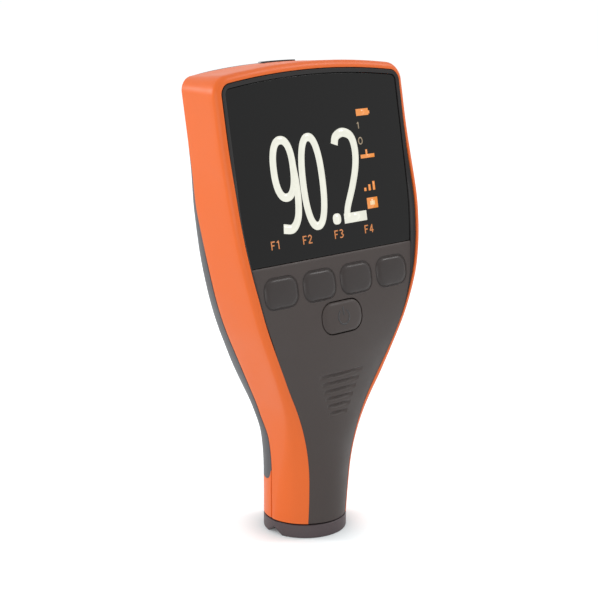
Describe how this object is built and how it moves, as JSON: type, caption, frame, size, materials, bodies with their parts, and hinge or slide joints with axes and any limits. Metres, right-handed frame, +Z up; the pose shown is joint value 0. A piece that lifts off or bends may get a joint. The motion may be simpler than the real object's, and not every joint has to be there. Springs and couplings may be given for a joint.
{
  "type": "coating thickness gauge",
  "caption": "Handheld coating thickness gauge with a colour display and soft keys, standing on the round probe foot at the end of its neck.",
  "frame": {"origin": "centre of the probe foot's contact face", "axes": "+Z up along the neck, the display faces -Y, +X is the viewer's right when facing the display"},
  "size_m": [0.073, 0.0383, 0.141],
  "materials": {
    "front_grey": "fine soft-touch texture",
    "key_grey": "smooth matt rubber",
    "rear_grey": "fine moulded texture",
    "foot_grey": "smooth hard plastic",
    "orange": "satin moulded orange",
    "seal_rubber": "black rubber",
    "flap_rubber": "matt dark rubber",
    "lens_black": "polished black window",
    "tape": "adhesive tape",
    "module_grey": "display panel",
    "flex": "amber film",
    "mat_rubber": "grey rubber",
    "board_green": "solder mask",
    "chip_black": "moulded black",
    "tin": "tinned steel",
    "chassis_plastic": "moulded plastic",
    "screw_steel": "plated steel",
    "tray_plastic": "moulded plastic",
    "cell_wrap": "printed cell wrap",
    "contact_steel": "nickel plate",
    "guide_plastic": "moulded plastic",
    "sleeve_steel": "turned steel",
    "core_steel": "soft iron",
    "coil_copper": "enamelled winding",
    "tip_steel": "polished hard tip",
    "plug_white": "moulded plug"
  },
  "bodies": {
    "housing": {"front_cover": "front_grey", "rear_cover": "rear_grey", "probe_foot": "foot_grey", "mid_case": "orange", "neck_collar": "orange", "case_seal": "seal_rubber", "display_lens": "lens_black", "lens_tape": "tape", "display_module": "module_grey", "display_flex": "flex", "key_mat": "mat_rubber", "main_board": "board_green", "board_chips": "chip_black", "buzzer": "chip_black", "usb_socket": "tin", "chassis": "chassis_plastic", "case_screws": "screw_steel", "battery_tray": "tray_plastic", "battery_left": "cell_wrap", "battery_right": "cell_wrap", "battery_springs": "contact_steel", "battery_plates": "contact_steel", "probe_guide": "guide_plastic", "probe_cap": "guide_plastic", "probe_spring": "contact_steel", "probe_plug": "plug_white"},
    "softkey_1": {"softkey_1": "key_grey"},
    "softkey_2": {"softkey_2": "key_grey"},
    "softkey_3": {"softkey_3": "key_grey"},
    "softkey_4": {"softkey_4": "key_grey"},
    "power_key": {"power_key": "key_grey"},
    "battery_cover": {"battery_cover": "rear_grey"},
    "usb_flap": {"usb_flap": "flap_rubber"},
    "probe": {"probe_sleeve": "sleeve_steel", "probe_core": "core_steel", "probe_coil": "coil_copper", "probe_tip": "tip_steel"}
  },
  "joints": [
    {"name": "softkey_1_press", "type": "slide", "parent": "housing", "child": "softkey_1", "axis": [0, 0.9833, -0.1822], "range_m": [0, 0.0006], "stiffness_N_per_m": 600},
    {"name": "softkey_2_press", "type": "slide", "parent": "housing", "child": "softkey_2", "axis": [0, 0.9833, -0.1822], "range_m": [0, 0.0006], "stiffness_N_per_m": 600},
    {"name": "softkey_3_press", "type": "slide", "parent": "housing", "child": "softkey_3", "axis": [0, 0.9833, -0.1822], "range_m": [0, 0.0006], "stiffness_N_per_m": 600},
    {"name": "softkey_4_press", "type": "slide", "parent": "housing", "child": "softkey_4", "axis": [0, 0.9833, -0.1822], "range_m": [0, 0.0006], "stiffness_N_per_m": 600},
    {"name": "power_key_press", "type": "slide", "parent": "housing", "child": "power_key", "axis": [0, 0.9833, -0.1822], "range_m": [0, 0.0006], "stiffness_N_per_m": 600},
    {"name": "probe_slide", "type": "slide", "parent": "housing", "child": "probe", "axis": [0, 0, 1], "range_m": [-0.0015, 0.001], "stiffness_N_per_m": 120, "springref_m": -0.0015, "deforming": ["probe_spring"]},
    {"name": "battery_cover_lift", "type": "slide", "parent": "housing", "child": "battery_cover", "axis": [0, 1, 0], "range_m": [0, 0.03]},
    {"name": "usb_flap_hinge", "type": "hinge", "parent": "housing", "child": "usb_flap", "pos_m": [0, 0.01298, 0.14075], "axis": [-1, 0, 0], "range_deg": [0, 110]}
  ]
}
